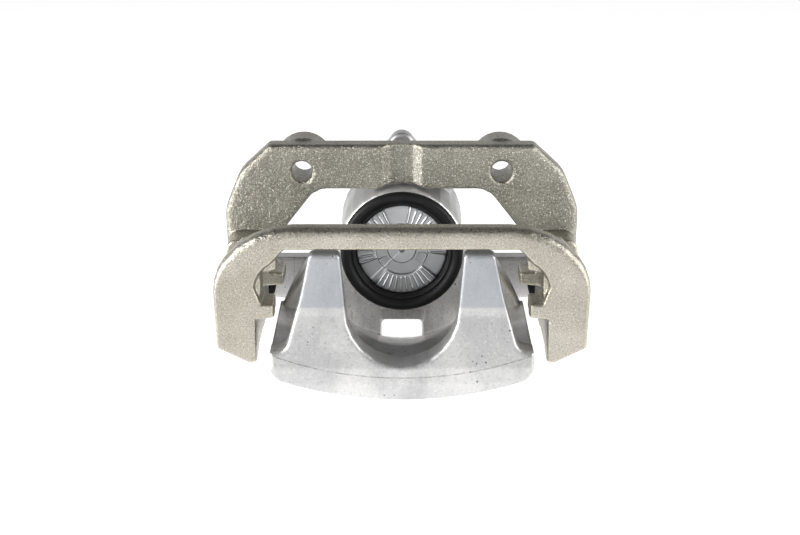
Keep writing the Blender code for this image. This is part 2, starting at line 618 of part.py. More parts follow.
def build_housing(assembly, material):
    """Cast housing: fingers, bridge, cylinder, ears, flange and bosses, with its bores."""
    fingers = lean_front(prism(finger_outline(), FOOT_FRONT_Y, FINGER_REAR_Y, 0.0018, 2))
    housing = assembly.place("housing", fingers, material)
    assembly.join(housing, "bridge", prism(
        inset(bridge_outline(), CAST_STEP), FINGER_REAR_Y - 0.0040, RIM_Y + 0.0100))
    assembly.join(housing, "saddle", prism(
        inset(saddle_outline(), 2 * CAST_STEP), RIM_Y + EPS, SADDLE_BACK_Y, 0.0020))
    wall_y = RIM_Y + EPS + CAST_STEP / 2
    assembly.cut(housing, "pad_relief", turned(
        [(0.0, PAD_RELIEF_FRONT_Y), (-BRIDGE_INNER_Z, PAD_RELIEF_FRONT_Y), (PAD_RELIEF_RADIUS, wall_y),
         (0.0, wall_y)], steps=48))
    land = [(-LAND_HALF_WIDTH, WINDOW_TOP_Z - EPS), (LAND_HALF_WIDTH, WINDOW_TOP_Z - EPS),
            (LAND_HALF_WIDTH, EPS - CYLINDER_RADIUS), (-LAND_HALF_WIDTH, EPS - CYLINDER_RADIUS)]
    assembly.cut(housing, "land", prism(land, wall_y - EPS, RIM_Y + LAND_DEPTH))
    assembly.join(housing, "cylinder", rod(
        CYLINDER_RADIUS, RIM_Y, CYLINDER_REAR_Y, chamfer=0.0010))
    assembly.join(housing, "ears", prism(
        ear_outline(), EAR_FRONT_Y, EAR_FRONT_Y + EAR_THICKNESS, 0.0015))
    assembly.join(housing, "spine", prism(spine_outline(), RIM_Y + 0.0060, EAR_FRONT_Y + 0.0060))
    assembly.join(housing, "flange", prism(
        flange_outline(), FLANGE_FRONT_Y, FLANGE_BACK_Y, 0.0012))
    for side, sign in (("upper", 1.0), ("lower", -1.0)):
        height = sign * FLANGE_SCREW_Z
        assembly.join(housing, f"flange_boss_{side}", rod(
            FLANGE_BOSS_RADIUS + CAST_STEP, FLANGE_BOSS_FRONT_Y, FLANGE_BACK_Y - 2 * EPS,
            0.0, height, 0.0012))
        assembly.cut(housing, f"flange_screw_{side}", rod(
            FLANGE_SCREW_RADIUS, FLANGE_BOSS_FRONT_Y + 0.0025, FLANGE_BACK_Y + EPS, 0.0, height))
    bleed_place = (0.0, BLEED_Y, 0.0)
    port_place = (0.0, PORT_Y, 0.0)
    bleed = fitting_rotation(BLEED_ANGLE)
    port = fitting_rotation(0.0)
    inside = BORE_RADIUS + 0.0030
    assembly.join(housing, "bleed_boss", rod(
        BLEED_BOSS_RADIUS, inside, BLEED_BOSS_TOP), rotation=bleed, origin=bleed_place)
    assembly.join(housing, "port_boss", rod(
        PORT_BOSS_RADIUS, inside, PORT_BOSS_TOP), rotation=port, origin=port_place)
    cut_housing(assembly, housing)
    assembly.cut(housing, "bleed_hole", turned(
        [(0.0, BORE_RADIUS - 0.0020), (BLEED_PASSAGE_RADIUS, BORE_RADIUS - 0.0020),
         (BLEED_PASSAGE_RADIUS, BORE_RADIUS + 0.0040),
         (BLEED_THREAD_RADIUS + GAP, BORE_RADIUS + 0.0060),
         (BLEED_THREAD_RADIUS + GAP, BLEED_BOSS_TOP + EPS), (0.0, BLEED_BOSS_TOP + EPS)],
        steps=16), rotation=bleed, origin=bleed_place)
    assembly.cut(housing, "port_hole", turned(
        [(0.0, BORE_RADIUS - 0.0020), (BLEED_PASSAGE_RADIUS, BORE_RADIUS - 0.0020),
         (BLEED_PASSAGE_RADIUS, PORT_BOSS_TOP - PORT_DEPTH - 0.0010),
         (PORT_RADIUS, PORT_BOSS_TOP - PORT_DEPTH), (PORT_RADIUS, PORT_BOSS_TOP + EPS),
         (0.0, PORT_BOSS_TOP + EPS)], steps=16), rotation=port, origin=port_place)
    return housing


def cut_housing(assembly, housing):
    """Bores and clearances that run along the piston axis, and the window under the cylinder."""
    mouth = RIM_Y + MOUTH_DEPTH
    seal_back = SEAL_GROOVE_Y + SEAL_WIDTH + 2 * GAP
    groove = BORE_RADIUS + SEAL_HEIGHT + GAP
    assembly.cut(housing, "bore", turned(
        [(0.0, RIM_Y - EPS), (MOUTH_RADIUS, RIM_Y - EPS), (MOUTH_RADIUS, mouth), (BORE_RADIUS, mouth),
         (BORE_RADIUS, SEAL_GROOVE_Y), (groove, SEAL_GROOVE_Y), (groove, seal_back),
         (BORE_RADIUS, seal_back), (BORE_RADIUS, BORE_END_Y), (SPINDLE_HOLE_RADIUS, BORE_END_Y),
         (SPINDLE_HOLE_RADIUS, FLANGE_BACK_Y + EPS), (0.0, FLANGE_BACK_Y + EPS)], steps=36))
    assembly.cut(housing, "flange_recess", rod(
        CIRCLIP_RADIUS + 0.0050, CYLINDER_REAR_Y, FLANGE_BACK_Y + EPS))
    for side, sign in (("left", -1.0), ("right", 1.0)):
        assembly.cut(housing, f"ear_hole_{side}", rod(
            EAR_HOLE_RADIUS, EAR_FRONT_Y - EPS, EAR_FRONT_Y + EAR_THICKNESS + EPS,
            sign * PIN_X, PIN_Z))
    low = HOUSING_BOTTOM_Z - EPS
    window = rounded([(-WINDOW_HALF_WIDTH, low, 0.0), (WINDOW_HALF_WIDTH, low, 0.0),
                      (WINDOW_HALF_WIDTH, WINDOW_TOP_Z, WINDOW_CORNER),
                      (-WINDOW_HALF_WIDTH, WINDOW_TOP_Z, WINDOW_CORNER)])
    assembly.cut(housing, "window", prism(window, RIM_Y - EPS, EAR_FRONT_Y + 0.0070))


# Piston, seals and boots --------------------------------------------------------------------

def build_piston(assembly, material):
    """Hollow piston with three lands on its face and a groove for the boot's lip."""
    back = RIM_Y + PISTON_LENGTH
    neck = PISTON_RADIUS - BOOT_GROOVE_DEPTH
    floor = RIM_Y + 0.0014
    profile = [(0.0, RIM_Y + 0.0004), (PISTON_BOSS_RADIUS, RIM_Y + 0.0004), (PISTON_BOSS_RADIUS, floor),
               (PISTON_LAND_INNER, floor), (PISTON_LAND_INNER, RIM_Y),
               (PISTON_RADIUS - 0.0006, RIM_Y), (PISTON_RADIUS, RIM_Y + 0.0006),
               (PISTON_RADIUS, BOOT_GROOVE_Y), (neck, BOOT_GROOVE_Y),
               (neck, BOOT_GROOVE_Y + BOOT_GROOVE_WIDTH),
               (PISTON_RADIUS, BOOT_GROOVE_Y + BOOT_GROOVE_WIDTH), (PISTON_RADIUS, back),
               (PISTON_INNER_RADIUS, back), (PISTON_INNER_RADIUS, RIM_Y + PISTON_CROWN),
               (0.0, RIM_Y + PISTON_CROWN)]
    piston = assembly.place("piston", turned(profile, steps=36), material, (0.0, RIM_Y, 0.0))
    for notch in range(PISTON_NOTCHES):
        middle = PISTON_NOTCH_START + notch * 2 * math.pi / PISTON_NOTCHES
        half = PISTON_NOTCH_ANGLE / 2
        outside = arc(0.0, 0.0, PISTON_RADIUS + EPS, middle - half, middle + half)
        inside = arc(0.0, 0.0, PISTON_LAND_INNER - EPS, middle + half, middle - half)
        # The wedge's floor lies just under the recess so that the two never share a plane.
        assembly.cut(piston, f"notch_{notch}", prism(
            outside + inside, RIM_Y - EPS, floor + 0.00005))
    return piston


def boot_profile():
    """Folded dust boot: bead in the housing's mouth, one fold in front, lip by the piston."""
    outer = MOUTH_RADIUS - GAP
    lip = PISTON_RADIUS + GAP
    nose = RIM_Y - BOOT_BULGE
    bead = RIM_Y + GAP * 2
    bottom = RIM_Y + MOUTH_DEPTH - GAP
    skin = BOOT_SKIN
    outside = [(outer - 2.2 * skin, bottom), (outer, bottom), (outer, bead)]
    fold = [(outer - 0.2 * skin, nose + skin), (outer - skin, nose), (outer - 2.2 * skin, nose)]
    slope = [(outer - 3.0 * skin, nose + 1.6 * skin), (lip + 1.2 * skin, nose + 2.4 * skin)]
    collar = [(lip, nose + 3.0 * skin), (lip, bottom - 0.6 * skin), (lip + skin, bottom - 0.6 * skin)]
    inside = [(lip + 1.1 * skin, nose + 3.8 * skin), (outer - 2.6 * skin, nose + 3.2 * skin)]
    return outside + fold + slope + collar + inside


def build_seals(assembly, rubber):
    """Piston seal and dust boot."""
    front = SEAL_GROOVE_Y + GAP
    assembly.place("piston_seal", tube(
        BORE_RADIUS, BORE_RADIUS + SEAL_HEIGHT, front, front + SEAL_WIDTH), rubber)
    assembly.place("piston_boot", turned(boot_profile(), steps=28), rubber)


def pin_boot_profile():
    """Bellows between the rail's rear end and the pin's head."""
    front = RAIL_BACK_Y + GAP
    back = PIN_HEAD_Y - GAP
    inner = PIN_RADIUS + GAP
    pitch = (back - front) / PIN_BOOT_FOLDS
    valley = PIN_BOOT_RADIUS - 0.0030
    outside = []
    for fold in range(PIN_BOOT_FOLDS):
        start = front + fold * pitch
        outside += [(valley, start),
                    (PIN_BOOT_RADIUS, start + pitch * 0.35),
                    (PIN_BOOT_RADIUS, start + pitch * 0.65)]
    outside.append((valley, back))
    return [(inner, front)] + outside + [(inner, back)]


# Guide pins ---------------------------------------------------------------------------------

def build_pins(assembly, steel, rubber):
    """Guide pins, their bolts and boots, and the rubber bush on the right pin."""
    for side, sign in (("left", -1.0), ("right", 1.0)):
        x = sign * PIN_X
        origin = (x, EAR_FRONT_Y, PIN_Z)
        tap = PIN_BOLT_RADIUS + GAP
        tap_front = EAR_FRONT_Y - PIN_BOLT_DEPTH - GAP
        neck = PIN_RADIUS - BUSH_WALL
        profile = [(0.0, PIN_TIP_Y), (PIN_RADIUS - 0.0008, PIN_TIP_Y), (PIN_RADIUS, PIN_TIP_Y + 0.0008)]
        if side == "right":
            bush_front = PIN_TIP_Y + 0.0020
            bush_back = bush_front + BUSH_LENGTH
            profile += [(PIN_RADIUS, bush_front), (neck - GAP, bush_front),
                        (neck - GAP, bush_back), (PIN_RADIUS, bush_back)]
            assembly.place("pin_bush_right", tube(
                neck, PIN_RADIUS, bush_front + GAP, bush_back - GAP, x, PIN_Z), rubber, origin)
        profile += [(PIN_RADIUS, PIN_REAR_Y - 0.0010), (0.0, PIN_REAR_Y - 0.0010)]
        pin = assembly.place(f"guide_pin_{side}", turned(profile, x, PIN_Z, 20), steel, origin)
        assembly.join(pin, f"pin_head_{side}", prism(
            hexagon(x, PIN_Z, PIN_HEAD_FLATS), PIN_HEAD_Y, PIN_REAR_Y, 0.0005))
        assembly.cut(pin, f"pin_tap_{side}", rod(tap, tap_front, PIN_REAR_Y + EPS, x, PIN_Z))
        build_pin_bolt(assembly, side, x, steel)
        assembly.place(f"pin_boot_{side}", turned(pin_boot_profile(), x, PIN_Z, 20), rubber)


def build_pin_bolt(assembly, side, x, steel):
    """Bolt that clamps an ear to its guide pin."""
    seat = EAR_FRONT_Y + EAR_THICKNESS + GAP
    shank_front = EAR_FRONT_Y - PIN_BOLT_DEPTH
    head = seat + PIN_BOLT_HEAD
    bolt = assembly.place(f"pin_bolt_{side}", turned(
        [(0.0, shank_front), (PIN_BOLT_RADIUS, shank_front), (PIN_BOLT_RADIUS, seat),
         (PIN_BOLT_FLATS * 0.62, seat), (PIN_BOLT_FLATS * 0.62, seat + 0.0012), (0.0, seat + 0.0012)],
        x, PIN_Z, 20), steel, (x, EAR_FRONT_Y, PIN_Z))
    assembly.join(bolt, f"bolt_head_{side}", prism(
        hexagon(x, PIN_Z, PIN_BOLT_FLATS), seat + 0.0006, head, 0.0006))


# Screw drive --------------------------------------------------------------------------------

def build_drive(assembly, steel, dark_steel, rubber):
    """Spindle through the cylinder's end wall, with its bearing, seal, circlip and nut."""
    centre = (0.0, BORE_END_Y, 0.0)
    oring_y = (BORE_END_Y + CYLINDER_REAR_Y) / 2
    groove = SPINDLE_RADIUS - ORING_SECTION
    half = ORING_SECTION / 2 + GAP
    clip_groove = SPINDLE_RADIUS - CIRCLIP_GROOVE_DEPTH
    clip_back = CIRCLIP_Y + CIRCLIP_THICKNESS + GAP
    collar_front = COLLAR_BACK_Y - COLLAR_THICKNESS
    spindle = assembly.place("spindle", turned(
        [(0.0, SPINDLE_FRONT_Y), (SPINDLE_RADIUS - 0.0008, SPINDLE_FRONT_Y),
         (SPINDLE_RADIUS, SPINDLE_FRONT_Y + 0.0008), (SPINDLE_RADIUS, collar_front),
         (COLLAR_RADIUS, collar_front), (COLLAR_RADIUS, COLLAR_BACK_Y),
         (SPINDLE_RADIUS, COLLAR_BACK_Y), (SPINDLE_RADIUS, oring_y - half), (groove, oring_y - half),
         (groove, oring_y + half), (SPINDLE_RADIUS, oring_y + half),
         (SPINDLE_RADIUS, CIRCLIP_Y - GAP), (clip_groove, CIRCLIP_Y - GAP),
         (clip_groove, clip_back), (SPINDLE_RADIUS, clip_back),
         (SPINDLE_RADIUS, clip_back + 0.0010), (0.0, clip_back + 0.0010)]), steel, centre)
    assembly.join(spindle, "spindle_tail", prism(
        hexagon(0.0, 0.0, SPINDLE_TAIL_FLATS), clip_back, SPINDLE_TAIL_Y, 0.0006))
    ring_radius = (ORING_SECTION - GAP) / 2
    ring = []
    for step in range(8):
        angle = math.radians(45 * step)
        ring.append((groove + GAP + ring_radius * (1 - math.cos(angle)),
                     oring_y + ORING_SECTION / 2 * math.sin(angle)))
    assembly.place("spindle_seal", turned(ring, steps=24), rubber, centre)
    assembly.place("thrust_bearing", tube(
        SPINDLE_RADIUS + GAP, COLLAR_RADIUS, COLLAR_BACK_Y + GAP, BEARING_BACK_Y), dark_steel, centre)
    assembly.place("thrust_washer", tube(
        SPINDLE_RADIUS + GAP, COLLAR_RADIUS, BEARING_BACK_Y + GAP, WASHER_BACK_Y), steel, centre)
    clip = assembly.place("spindle_circlip", tube(
        clip_groove + GAP, CIRCLIP_RADIUS, CIRCLIP_Y, CIRCLIP_Y + CIRCLIP_THICKNESS), dark_steel, centre)
    mouth = [(-0.0016, 0.0), (0.0016, 0.0),
             (0.0026, CIRCLIP_RADIUS + EPS), (-0.0026, CIRCLIP_RADIUS + EPS)]
    assembly.cut(clip, "circlip_mouth", prism(mouth, CIRCLIP_Y - EPS, CIRCLIP_Y + CIRCLIP_THICKNESS + EPS))
    nut = assembly.place("spindle_nut", prism(
        hexagon(0.0, 0.0, NUT_FLATS), NUT_FRONT_Y, NUT_FRONT_Y + NUT_LENGTH, 0.0015),
        dark_steel, (0.0, NUT_FRONT_Y, 0.0))
    assembly.cut(nut, "nut_thread", rod(
        SPINDLE_RADIUS + GAP, NUT_FRONT_Y + NUT_CAP, NUT_FRONT_Y + NUT_LENGTH + EPS))


# Bleed screw --------------------------------------------------------------------------------

def build_bleeder(assembly, steel, rubber):
    """Bleed screw and its cap, along their own axis out of the cylinder."""
    place = (0.0, BLEED_Y, 0.0)
    turn = fitting_rotation(BLEED_ANGLE)
    tip = BORE_RADIUS + 0.0064
    hex_low = BLEED_BOSS_TOP + GAP
    hex_high = hex_low + BLEED_HEX_HEIGHT
    nipple = hex_high + BLEED_NIPPLE_LENGTH
    waist = BLEED_NIPPLE_RADIUS - 0.0006
    screw = assembly.place("bleed_screw", turned(
        [(0.0, tip), (BLEED_THREAD_RADIUS - 0.0004, tip), (BLEED_THREAD_RADIUS, tip + 0.0010),
         (BLEED_THREAD_RADIUS, hex_high), (waist, hex_high + 0.0006), (waist, nipple - 0.0040),
         (BLEED_NIPPLE_RADIUS, nipple - 0.0025), (waist, nipple), (0.0, nipple)], steps=20),
        steel, place, turn)
    assembly.join(screw, "bleed_hex", prism(
        hexagon(0.0, 0.0, BLEED_FLATS), hex_low, hex_high, 0.0005), rotation=turn, origin=place)
    assembly.cut(screw, "bleed_passage", rod(
        BLEED_PASSAGE_RADIUS, hex_low, nipple + EPS), rotation=turn, origin=place)
    inside = BLEED_NIPPLE_RADIUS + GAP
    outside = inside + CAP_WALL
    low = hex_high + GAP
    top = nipple + GAP + CAP_TOP
    assembly.place("bleed_cap", turned(
        [(0.0, nipple + GAP), (inside, nipple + GAP), (inside, low), (outside + 0.0004, low),
         (outside + 0.0004, low + 0.0016), (outside, low + 0.0020), (outside, top - 0.0010),
         (outside - 0.0010, top), (0.0, top)], steps=24), rubber, place, turn)


def main():
    """Build every piece."""
    assembly = Assembly()
    zinc_iron = new_material("zinc_plated_iron", (0.50, 0.49, 0.43), 0.45, 0.85)
    aluminium = new_material("cast_aluminium", (0.72, 0.72, 0.74), 0.38, 0.90)
    piston_metal = new_material("piston_aluminium", (0.45, 0.46, 0.49), 0.35, 0.95)
    steel = new_material("zinc_steel", (0.62, 0.62, 0.60), 0.30, 1.0)
    dark_steel = new_material("bearing_steel", (0.30, 0.30, 0.32), 0.30, 1.0)
    rubber = new_material("black_rubber", (0.015, 0.015, 0.016), 0.60, 0.0)
    build_bracket(assembly, zinc_iron)
    build_housing(assembly, aluminium)
    build_piston(assembly, piston_metal)
    build_seals(assembly, rubber)
    build_pins(assembly, steel, rubber)
    build_drive(assembly, steel, dark_steel, rubber)
    build_bleeder(assembly, steel, rubber)


main()
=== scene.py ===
"""Brake caliper: castings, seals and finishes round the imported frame, in a pale studio."""

import math

import bmesh
import bpy
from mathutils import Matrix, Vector
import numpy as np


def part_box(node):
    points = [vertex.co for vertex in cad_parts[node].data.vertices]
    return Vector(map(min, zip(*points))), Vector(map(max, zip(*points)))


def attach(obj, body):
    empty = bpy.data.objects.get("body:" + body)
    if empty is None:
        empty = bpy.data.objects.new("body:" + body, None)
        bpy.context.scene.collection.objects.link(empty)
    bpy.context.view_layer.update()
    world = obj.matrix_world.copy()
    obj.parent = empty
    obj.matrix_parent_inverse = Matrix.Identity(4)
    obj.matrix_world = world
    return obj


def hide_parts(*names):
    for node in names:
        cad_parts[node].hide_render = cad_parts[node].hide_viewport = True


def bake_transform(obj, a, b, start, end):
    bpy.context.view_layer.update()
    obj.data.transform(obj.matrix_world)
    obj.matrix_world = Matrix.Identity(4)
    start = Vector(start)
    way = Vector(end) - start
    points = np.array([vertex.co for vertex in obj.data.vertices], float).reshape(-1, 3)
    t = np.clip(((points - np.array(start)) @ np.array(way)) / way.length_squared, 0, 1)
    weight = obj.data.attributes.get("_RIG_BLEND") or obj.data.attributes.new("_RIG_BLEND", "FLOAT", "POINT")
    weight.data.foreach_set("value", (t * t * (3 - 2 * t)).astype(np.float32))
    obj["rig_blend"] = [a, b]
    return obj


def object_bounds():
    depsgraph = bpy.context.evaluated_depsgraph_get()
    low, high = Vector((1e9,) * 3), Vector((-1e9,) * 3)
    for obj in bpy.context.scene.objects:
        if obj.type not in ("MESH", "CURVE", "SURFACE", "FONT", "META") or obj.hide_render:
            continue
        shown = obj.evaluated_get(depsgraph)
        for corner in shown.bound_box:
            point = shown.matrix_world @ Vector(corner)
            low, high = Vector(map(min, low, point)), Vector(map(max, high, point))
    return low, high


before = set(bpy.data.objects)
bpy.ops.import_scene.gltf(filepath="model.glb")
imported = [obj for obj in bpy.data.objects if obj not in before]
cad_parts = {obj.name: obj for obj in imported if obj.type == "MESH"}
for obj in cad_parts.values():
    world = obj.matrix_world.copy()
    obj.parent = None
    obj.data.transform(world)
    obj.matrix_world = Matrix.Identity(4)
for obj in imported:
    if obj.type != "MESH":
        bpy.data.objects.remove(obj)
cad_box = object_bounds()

# Castings
BRACKET_VOXEL = 0.00055
HOUSING_VOXEL = 0.00055
SMOOTH_FACTOR = 0.5
HOUSING_ROUNDS = 4
BRACKET_ROUNDS = 6

# Finishes: where the painted shade on the bracket's rear plate starts, where the housing's blasted
# front, its inner hollow with painted light and its rim lie, where the fingers' upper faces turn
# darker with a painted reflection, and the foundry seam across the foot
PLATE_SHADE_Y = -0.035
SEAM_Z = -0.0792
SEAM_RISE = 2.876
SEAM_HALF_WIDTH = 0.00045
FRONT_Y = -0.096
INNER_Y = -0.060
RIM_Y = -0.033
FINGER_SHADE_Z = -0.0465

# Piston face, as shares of the piston's radius and as heights in metres
BOSS_SHARE = 0.31
RECESS_SHARE = 0.574
LAND_MIDDLES = (37.0, 157.0, 277.0)
LAND_HALF_ANGLE = 43.5
LAND_SLOPE_ANGLE = 2.0
FLOOR_DEPTH = 0.0022
BOSS_DROP = 0.0008
RIDGE_PITCH = 8.3
RIDGE_HALF_ANGLE = 1.5
RIDGE_HEIGHT = 0.0006
RIDGE_START = 0.62
RIDGE_END = 0.92
RAMP_START = 0.36
RAMP_END = 0.56
RAMP_HALF_ANGLE = 13.0
RAMP_HEIGHT = 0.0013
PISTON_RIM = 0.0007
PISTON_WALL = 0.0048
PISTON_CROWN = 0.0068
GROOVE_START = 0.0020
GROOVE_WIDTH = 0.0030
GROOVE_DEPTH = 0.0014
FACE_STEPS = 540
FACE_RINGS = 80
FACE_RING_STEP = 0.0082

# Bellows
TURN_STEPS = 96
BOOT_SKIN = 0.0011
BOOT_ROLL = 0.0010
BOOT_CLEARANCE = 0.0002
SKIN_ROUNDS = 3
PIN_BOOT_FOLDS = 4
PIN_BOOT_INNER = 0.0053
PIN_BOOT_VALLEY = 0.0034
PIN_BOOT_ROUNDS = 2

# Camera and studio
CAMERA_DISTANCE = 0.840
CAMERA_ELEVATION = math.radians(17.0)
LENS = 78.75
SHIFT_X = -0.00225
TARGET = Vector((0.0, -0.0625, -0.0385))
FLOOR_SIZE = 8.0
FLOOR_GAP = 0.0004
FLOOR_GLOW = 0.66
WALL_LIGHT = 0.64
CEILING_LIGHT = 0.05
WALL_TOP = 0.40
CEILING_START = 0.72
LAMP_SIZE = 0.8
KEY_PLACE = (-1.0, -0.45, 0.30)
KEY_POWER = 15.0
FILL_PLACE = (1.0, -0.30, 0.34)
FILL_POWER = 8.0


# Geometry -----------------------------------------------------------------------------------

def ease(value, low, high):
    """Smooth step from 0 at low to 1 at high."""
    share = min(max((value - low) / (high - low), 0.0), 1.0)
    return share * share * (3.0 - 2.0 * share)


def turned(name, profile, centre, steps=TURN_STEPS, height=None):
    """Closed solid of revolution about a line along Y; height(share, angle) can move the front."""
    middle_x, middle_z = centre
    verts = []
    rings = []
    for radius, y in profile:
        if radius == 0.0:
            rings.append([len(verts)])
            verts.append((middle_x, y, middle_z))
            continue
        ring = []
        for step in range(steps):
            angle = 2.0 * math.pi * step / steps
            place = y if height is None else height(radius, angle, y)
            ring.append(len(verts))
            verts.append((middle_x + radius * math.cos(angle), place,
                          middle_z + radius * math.sin(angle)))
        rings.append(ring)
    faces = []
    pairs = list(zip(rings, rings[1:]))
    if len(rings[0]) > 1:
        pairs.append((rings[-1], rings[0]))
    for near, far in pairs:
        for step in range(steps):
            after = (step + 1) % steps
            if len(near) == 1:
                faces.append((near[0], far[step], far[after]))
            elif len(far) == 1:
                faces.append((near[after], near[step], far[0]))
            else:
                faces.append((near[step], far[step], far[after], near[after]))
    mesh = bpy.data.meshes.new(name)
    mesh.from_pydata(verts, [], faces)
    mesh.validate()
    mesh.shade_smooth()
    piece = bpy.data.objects.new(name, mesh)
    bpy.context.scene.collection.objects.link(piece)
    return piece


def outward(piece):
    """Turn the faces of a closed piece outwards."""
    shape = bmesh.new()
    shape.from_mesh(piece.data)
    bmesh.ops.recalc_face_normals(shape, faces=shape.faces)
    shape.to_mesh(piece.data)
    shape.free()


def curve_points(points):
    """Closed profile with its corners cut smooth, round after round."""
    for _ in range(PIN_BOOT_ROUNDS):
        finer = []
        for (x, y), (x_next, y_next) in zip(points, points[1:] + points[:1]):
            finer.append((0.75 * x + 0.25 * x_next, 0.75 * y + 0.25 * y_next))
            finer.append((0.25 * x + 0.75 * x_next, 0.25 * y + 0.75 * y_next))
        points = finer
    return points


def cast(node, voxel, rounds):
    """Give a casting the soft corners of a poured surface."""
    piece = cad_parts[node]
    grain = piece.modifiers.new("cast", "REMESH")
    grain.mode = "VOXEL"
    grain.voxel_size = voxel
    grain.use_smooth_shade = True
    soft = piece.modifiers.new("soft", "SMOOTH")
    soft.factor = SMOOTH_FACTOR
    soft.iterations = rounds
    return piece


def eased(node, width=0.0004, segments=2):
    """Break a machined piece's edges."""
    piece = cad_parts[node]
    edge = piece.modifiers.new("edge", "BEVEL")
    edge.width = width
    edge.segments = segments
    edge.limit_method = "ANGLE"
    edge.angle_limit = math.radians(28)
    edge.use_clamp_overlap = True
    edge.harden_normals = True
    return piece


# Materials ----------------------------------------------------------------------------------

class Finish:
    """A node material built up step by step."""

    def __init__(self, name, metallic, roughness):
        self.material = bpy.data.materials.new(name)
        self.material.use_nodes = True
        self.nodes = self.material.node_tree.nodes
        self.links = self.material.node_tree.links
        self.shader = self.nodes["Principled BSDF"]
        self.shader.inputs["Metallic"].default_value = metallic
        self.shader.inputs["Roughness"].default_value = roughness
        self.place = self.nodes.new("ShaderNodeTexCoord").outputs["Object"]
        self.surface = self.nodes.new("ShaderNodeNewGeometry")
        self.relief = None

    def link(self, source, target):
        self.links.new(source, target)

    def noise(self, scale, detail=4.0, rough=0.5, stretch=None):
        """Fractal noise, from 0 to 1."""
        node = self.nodes.new("ShaderNodeTexNoise")
        node.inputs["Scale"].default_value = scale
        node.inputs["Detail"].default_value = detail
        node.inputs["Roughness"].default_value = rough
        source = self.place
        if stretch:
            mapping = self.nodes.new("ShaderNodeMapping")
            mapping.inputs["Scale"].default_value = stretch
            self.link(source, mapping.inputs["Vector"])
            source = mapping.outputs["Vector"]
        self.link(source, node.inputs["Vector"])
        return node.outputs["Fac"]

    def cells(self, scale, feature="F1", output="Distance"):
        """Voronoi grains."""
        node = self.nodes.new("ShaderNodeTexVoronoi")
        node.feature = feature
        node.inputs["Scale"].default_value = scale
        self.link(self.place, node.inputs["Vector"])
        return node.outputs[output]

    def spread(self, source, low, high, new_low=0.0, new_high=1.0):
        """Map a range of values to another, clamped."""
        node = self.nodes.new("ShaderNodeMapRange")
        node.inputs["From Min"].default_value = low
        node.inputs["From Max"].default_value = high
        node.inputs["To Min"].default_value = new_low
        node.inputs["To Max"].default_value = new_high
        self.link(source, node.inputs["Value"])
        return node.outputs["Result"]

    def combine(self, operation, first, second):
        """Arithmetic on two values, the second a socket or a number."""
        node = self.nodes.new("ShaderNodeMath")
        node.operation = operation
        self.link(first, node.inputs[0])
        if isinstance(second, (int, float)):
            node.inputs[1].default_value = second
        else:
            self.link(second, node.inputs[1])
        return node.outputs[0]

    def mix(self, share, first, second, kind="MIX"):
        """Blend two colours, each a socket or an RGB tuple."""
        node = self.nodes.new("ShaderNodeMix")
        node.data_type = "RGBA"
        node.blend_type = kind
        if isinstance(share, (int, float)):
            node.inputs["Factor"].default_value = share
        else:
            self.link(share, node.inputs["Factor"])
        for colour, name in ((first, "A"), (second, "B")):
            socket = [s for s in node.inputs if s.name == name and s.type == "RGBA"][0]
            if isinstance(colour, tuple):
                socket.default_value = (*colour, 1.0)
            else:
                self.link(colour, socket)
        return [s for s in node.outputs if s.type == "RGBA"][0]

    def bump(self, height, strength, distance):
        """Stack one more layer of relief."""
        node = self.nodes.new("ShaderNodeBump")
        node.inputs["Strength"].default_value = strength
        node.inputs["Distance"].default_value = distance
        self.link(height, node.inputs["Height"])
        if self.relief is not None:
            self.link(self.relief, node.inputs["Normal"])
        self.relief = node.outputs["Normal"]

    def edges(self, low, high, share=1.0):
        """The share on outside edges, 0 on flats; with low above high, in corners instead."""
        return self.spread(self.surface.outputs["Pointiness"], low, high, 0.0, share)

    def within(self, axis, outside, inside, share=1.0):
        """The share on one side of a plane across an axis, 0 on the other."""
        return self.spread(self.position(axis), outside, inside, 0.0, share)

    def position(self, axis):
        """One part of the place on the object."""
        node = self.nodes.new("ShaderNodeSeparateXYZ")
        self.link(self.place, node.inputs["Vector"])
        return node.outputs[axis]

    def done(self, colour, roughness=None):
        """Wire the results to the shader."""
        if isinstance(colour, tuple):
            self.shader.inputs["Base Color"].default_value = (*colour, 1.0)
        else:
            self.link(colour, self.shader.inputs["Base Color"])
        if roughness is not None:
            self.link(roughness, self.shader.inputs["Roughness"])
        if self.relief is not None:
            self.link(self.relief, self.shader.inputs["Normal"])
        return self.material


